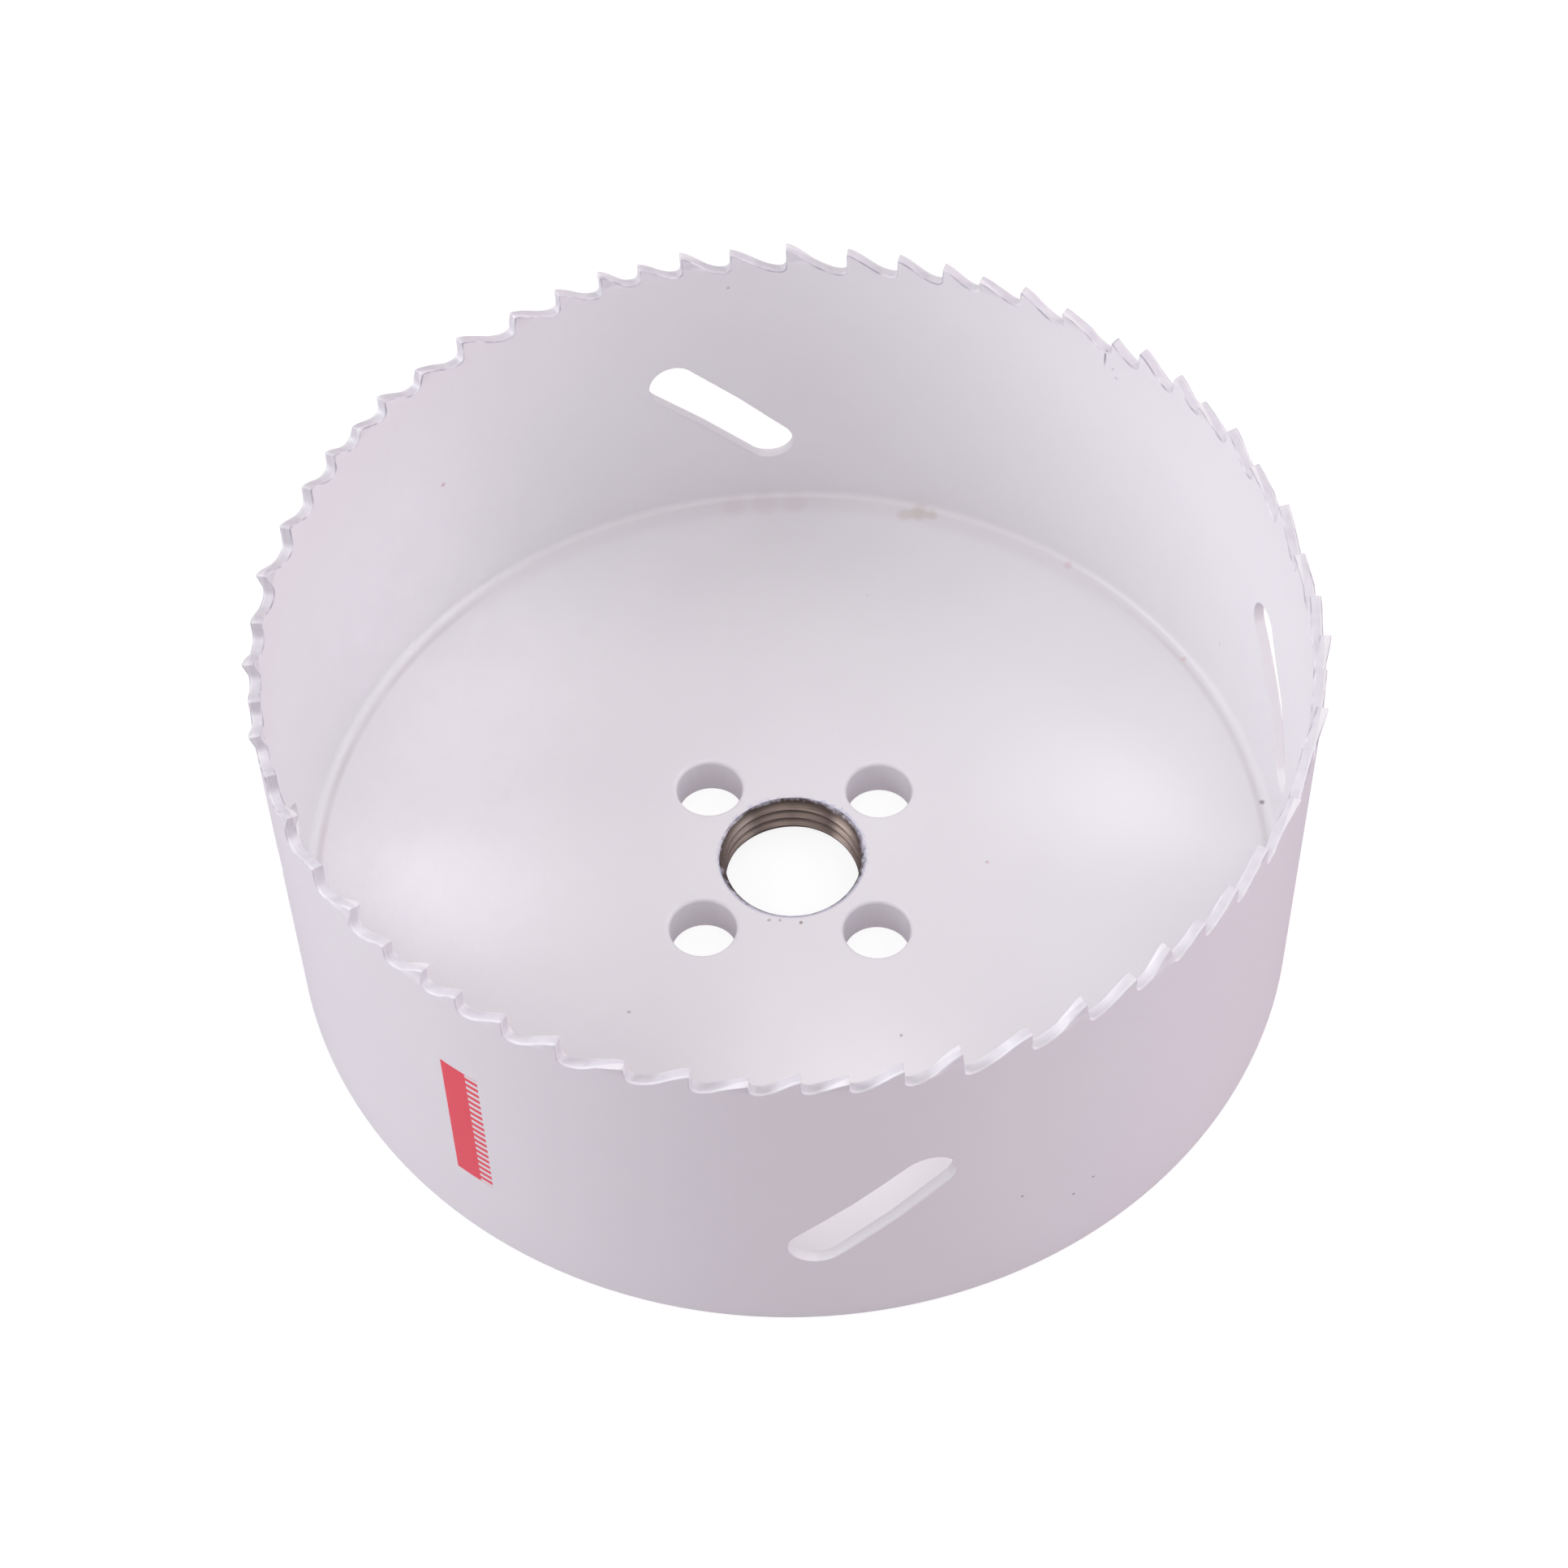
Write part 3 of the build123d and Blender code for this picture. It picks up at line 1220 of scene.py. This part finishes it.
@dataclass
class BaseDisc:
    """The thick disc in the band's lower end, with its weld, its drive-pin holes and its bore."""

    radius: float = 52.3
    thickness: float = 5.15
    weld_leg: float = 0.85
    bore_radius: float = 7.95
    pin_hole_diameter: float = 7.14
    pin_circle_diameter: float = 26.2
    pin_hole_azimuths: tuple[float, ...] = (45.0, 135.0, 225.0, 315.0)
    edge_round: float = 0.5
    bore_round: float = 0.15
    specks: tuple[Speck, ...] = (
        Speck((-16.56, -20.24, 5.15), 0.22, "#988D92", 0.55),
        Speck((11.89, -22.75, 5.15), 0.22, "#8E8790"),
        Speck((1.16, -8.6, 5.15), 0.25, "#85756B", 0.8),
        Speck((-2.23, -8.3, 5.15), 0.25, "#9A8F8E"),
        Speck((-1.1, -8.3, 5.15), 0.22, "#9A8F8E"),
        Speck((20.98, -0.35, 5.15), 0.25, "#C3A6B2"),
        Speck((50.9, 8.06, 5.3), 0.38, "#7F6F7C", 0.8),
        Speck((43.2, 28.0, 5.3), 0.4, "#D9B3A0", 0.45),
        Speck((30.5, 41.6, 5.3), 0.6, "#DDBBC2", 0.4),
        Speck((13.4, 49.4, 5.4), 1.3, "#C4BBA9", 0.45),
        Speck((11.8, 49.2, 5.4), 1.1, "#C4BBA9", 0.35),
        Speck((14.9, 49.1, 5.4), 0.9, "#C4BBA9", 0.4),
        Speck((-8.0, 50.2, 5.3), 1.8, "#C9B6B6", 0.13),
        Speck((-4.5, 50.6, 5.3), 2.0, "#C9B6B6", 0.13),
        Speck((-1.0, 50.8, 5.3), 1.8, "#C9B6B6", 0.13),
    )
    name: str = "base_disc"

    def blank(self) -> bpy.types.Object:
        """The turned disc with the hollow face of its weld."""
        weld = arc(
            (self.radius - self.weld_leg, self.thickness + self.weld_leg),
            self.weld_leg,
            0,
            -90,
            6,
        )
        rim = arc(
            (self.bore_radius + self.bore_round, self.thickness - self.bore_round),
            self.bore_round,
            90,
            180,
            4,
        )
        profile = [(self.bore_radius, 0.0), (self.radius, 0.0), *weld, *rim]
        return turn(self.name, profile, 360)

    def drills(self) -> bpy.types.Object:
        """The drills that make the drive-pin holes."""
        drill = flared_cutter(
            "drill", self.pin_hole_diameter / 2, self.thickness, self.edge_round, 72
        )
        drill.location.x = self.pin_circle_diameter / 2 * MM
        settle(drill)
        drills = []
        for azimuth in self.pin_hole_azimuths:
            one = copy_of(drill)
            one.rotation_euler.z = radians(azimuth)
            drills.append(one)
        bpy.data.objects.remove(drill)
        settle(*drills)
        return join("drills", drills)

    def build(self) -> bpy.types.Object:
        """Make the disc.

        Returns:
            The finished disc.
        """
        piece = self.blank()
        cut(piece, self.drills())
        with edit_mode(piece):
            bpy.ops.mesh.select_all(action="SELECT")
            bpy.ops.mesh.dissolve_limited(angle_limit=radians(0.05))
        select_only(piece)
        bpy.ops.object.shade_smooth_by_angle(angle=radians(35))
        apply_modifier(piece, "WEIGHTED_NORMAL", mode="FACE_AREA", weight=50, keep_sharp=True)
        piece.data.materials.append(DiscEnamel(specks=self.specks).material())
        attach(piece, "root")
        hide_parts("base_plate")
        LOG.info("%s: %d faces", piece.name, len(piece.data.polygons))
        return piece


@dataclass
class ArborThread:
    """The tapped bore, left bare: bored, countersunk at both ends, then cut by the tap."""

    major_diameter: float = 15.875
    depth: float = 0.6875
    pitch: float = 25.4 / 18
    length: float = 5.15
    wall: float = 0.1
    name: str = "arbor_thread"

    def blank(self) -> bpy.types.Object:
        """The bored and countersunk ring before it is tapped."""
        major = self.major_diameter / 2
        minor, outside = major - self.depth, major + self.wall
        profile = [
            (minor, self.depth),
            (major, 0.0),
            (outside, 0.0),
            (outside, self.length),
            (major, self.length),
            (minor, self.length - self.depth),
        ]
        return turn(self.name, profile, 180)

    def tap(self) -> bpy.types.Object:
        """The tap: one thread groove wound up past both ends of the bore."""
        major = self.major_diameter / 2
        within = major - self.depth - 0.12
        root, mouth = self.pitch / 16, self.pitch * 7 / 16
        reach = mouth + (mouth - root) * 0.12 / self.depth
        start = -2 * self.pitch
        groove = [(within, -reach), (major, -root), (major, root), (within, reach)]
        path = [Vector((radius, 0, start + height)) for radius, height in groove]
        tap = draw_path("tap", path, True)
        turns = 8
        apply_modifier(
            tap,
            "SCREW",
            axis="Z",
            angle=2 * pi,
            screw_offset=self.pitch * MM,
            iterations=turns,
            steps=96,
            render_steps=96,
            use_smooth_shade=True,
        )
        return tap

    def build(self) -> bpy.types.Object:
        """Make the threaded bore.

        Returns:
            The finished bore.
        """
        piece = self.blank()
        cut(piece, self.tap())
        select_only(piece)
        bpy.ops.object.shade_smooth_by_angle(angle=radians(28))
        piece.data.materials.append(TappedSteel().material())
        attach(piece, "root")
        LOG.info("%s: %d faces", piece.name, len(piece.data.polygons))
        return piece


# ---- the studio -----------------------------------------------------------------------------


@dataclass
class Softbox:
    """A soft square lamp that faces a point of the saw, in millimetres, from a distance in metres."""

    name: str
    azimuth: float
    elevation: float
    distance: float
    side: float
    power: float
    colour: str = "#FFFFFF"
    aim: tuple[float, float, float] = (0.0, 0.0, 0.0)
    spread: float = 180.0

    def build(self) -> bpy.types.Object:
        """Hang the lamp."""
        lamp = bpy.data.lights.new(self.name, "AREA")
        lamp.shape, lamp.size, lamp.spread = "SQUARE", self.side, radians(self.spread)
        lamp.energy, lamp.color = self.power, linear(self.colour)[:3]
        holder = bpy.data.objects.new(self.name, lamp)
        bpy.context.scene.collection.objects.link(holder)
        turn_by, rise = radians(self.azimuth), radians(self.elevation)
        away = Vector((cos(turn_by) * cos(rise), sin(turn_by) * cos(rise), sin(rise)))
        holder.location = Vector(self.aim) * MM + away * self.distance
        holder.rotation_euler = away.to_track_quat("Z", "Y").to_euler()
        return holder


@dataclass
class Studio:
    """Floor, lamps, world and camera."""

    azimuth: float = 2.87
    elevation: float = 52.887
    roll: float = -1.689
    distance: float = 404.865
    aim: tuple[float, float, float] = (-1.33, 13.768, 0.0)
    focal_length: float = 83.55
    floor_size: float = 6.0
    world_colour: str = "#B0A8AE"

    def camera(self) -> bpy.types.Object:
        """Set up the camera."""
        data = bpy.data.cameras.new("camera")
        data.lens, data.sensor_width = self.focal_length, 36.0
        data.clip_start, data.clip_end = 0.01, 50.0
        holder = bpy.data.objects.new("camera", data)
        bpy.context.scene.collection.objects.link(holder)
        turn_by, rise, roll = (radians(v) for v in (self.azimuth, self.elevation, self.roll))
        back = Vector((sin(turn_by) * cos(rise), -cos(turn_by) * cos(rise), sin(rise)))
        level = Vector((cos(turn_by), sin(turn_by), 0))
        upright = back.cross(level)
        right = cos(roll) * level + sin(roll) * upright
        up = cos(roll) * upright - sin(roll) * level
        pose = Matrix((right, up, back)).transposed().to_4x4()
        pose.translation = (Vector(self.aim) + back * self.distance) * MM
        holder.matrix_world = pose
        bpy.context.scene.camera = holder
        return holder

    def floor(self) -> bpy.types.Object:
        """Lay the pale floor, which shows as white and keeps the saw's shadow."""
        bpy.ops.object.select_all(action="DESELECT")
        bpy.ops.mesh.primitive_plane_add(size=self.floor_size)
        floor = bpy.context.object
        floor.name = floor.data.name = "floor"
        material = empty_material("pale_floor")
        path = add_node(material, "ShaderNodeLightPath").outputs
        seen = add_node(
            material,
            "ShaderNodeMath",
            {0: path["Is Camera Ray"], 1: path["Is Transmission Ray"]},
            operation="MAXIMUM",
        )
        matt = add_node(material, "ShaderNodeBsdfDiffuse", {"Color": linear("#AAA7AC")})
        lit = add_node(material, "ShaderNodeEmission", {"Color": linear("#FFE4F8"), "Strength": 0.13})
        pale = add_node(material, "ShaderNodeAddShader", {0: matt.outputs[0], 1: lit.outputs[0]})
        glow = add_node(material, "ShaderNodeEmission", {"Color": linear("#FFFFFF"), "Strength": 0.85})
        dim = add_node(material, "ShaderNodeBsdfDiffuse", {"Color": linear("#808080")})
        white = add_node(material, "ShaderNodeAddShader", {0: glow.outputs[0], 1: dim.outputs[0]})
        mixed = add_node(
            material,
            "ShaderNodeMixShader",
            {0: seen.outputs[0], 1: pale.outputs[0], 2: white.outputs[0]},
        )
        add_node(material, "ShaderNodeOutputMaterial", {"Surface": mixed.outputs[0]})
        floor.data.materials.append(material)
        return floor

    def world(self) -> bpy.types.World:
        """Light the room evenly, and show it white to the camera."""
        world = bpy.data.worlds.new("studio")
        bpy.context.scene.world = world
        world.use_nodes = True
        world.node_tree.nodes.clear()
        path = add_node(world, "ShaderNodeLightPath").outputs
        room = add_node(world, "ShaderNodeBackground", {"Color": linear(self.world_colour)})
        white = add_node(world, "ShaderNodeBackground", {"Color": linear("#FFFFFF")})
        mixed = add_node(
            world,
            "ShaderNodeMixShader",
            {0: path["Is Camera Ray"], 1: room.outputs[0], 2: white.outputs[0]},
        )
        add_node(world, "ShaderNodeOutputWorld", {"Surface": mixed.outputs[0]})
        return world

    def build(self) -> None:
        """Set up the whole studio."""
        self.camera()
        self.floor()
        self.world()
        Softbox("left_softbox", 185.0, 27.0, 0.9, 0.6, 4.7, "#F9FCFF").build()
        Softbox("right_softbox", 358.0, 27.0, 0.9, 0.6, 2.5, "#F4FBFF").build()
        Softbox("front_left_softbox", 245.0, 62.0, 0.9, 0.5, 0.95).build()
        Softbox("front_right_softbox", 305.0, 62.0, 0.9, 0.5, 0.95).build()
        Softbox("rear_softbox", 45.0, 55.0, 0.9, 0.5, 1.0, "#FFF7F7").build()
        Softbox("low_pink_card", 2.0, 10.0, 0.9, 0.4, 0.75, "#FF9FC0").build()
        left_pool, right_pool, corner = (-40.0, -4.0, 5.0), (38.0, 9.0, 5.0), (-42.0, 28.0, 12.0)
        front = (6.0, -38.0, 5.0)
        Softbox("front_pool", 90.0, 62.0, 0.5, 0.012, 2.5e-4, aim=front, spread=5.0).build()
        Softbox("corner_pool", 325.0, 38.0, 0.5, 0.012, 2.5e-4, aim=corner, spread=5.0).build()
        Softbox("left_pool", 0.0, 75.0, 0.5, 0.012, 1.5e-4, aim=left_pool, spread=3.5).build()
        Softbox("right_pool", 180.0, 75.0, 0.5, 0.012, 1e-4, aim=right_pool, spread=3.5).build()
        bpy.context.scene.view_settings.view_transform = "Standard"


def main() -> None:
    """Build the studio and the saw."""
    logging.basicConfig(level=logging.INFO, format="%(name)s %(message)s")
    Studio().build()
    ToothedBand().build()
    BaseDisc().build()
    ArborThread().build()


if __name__ == "__main__":
    main()
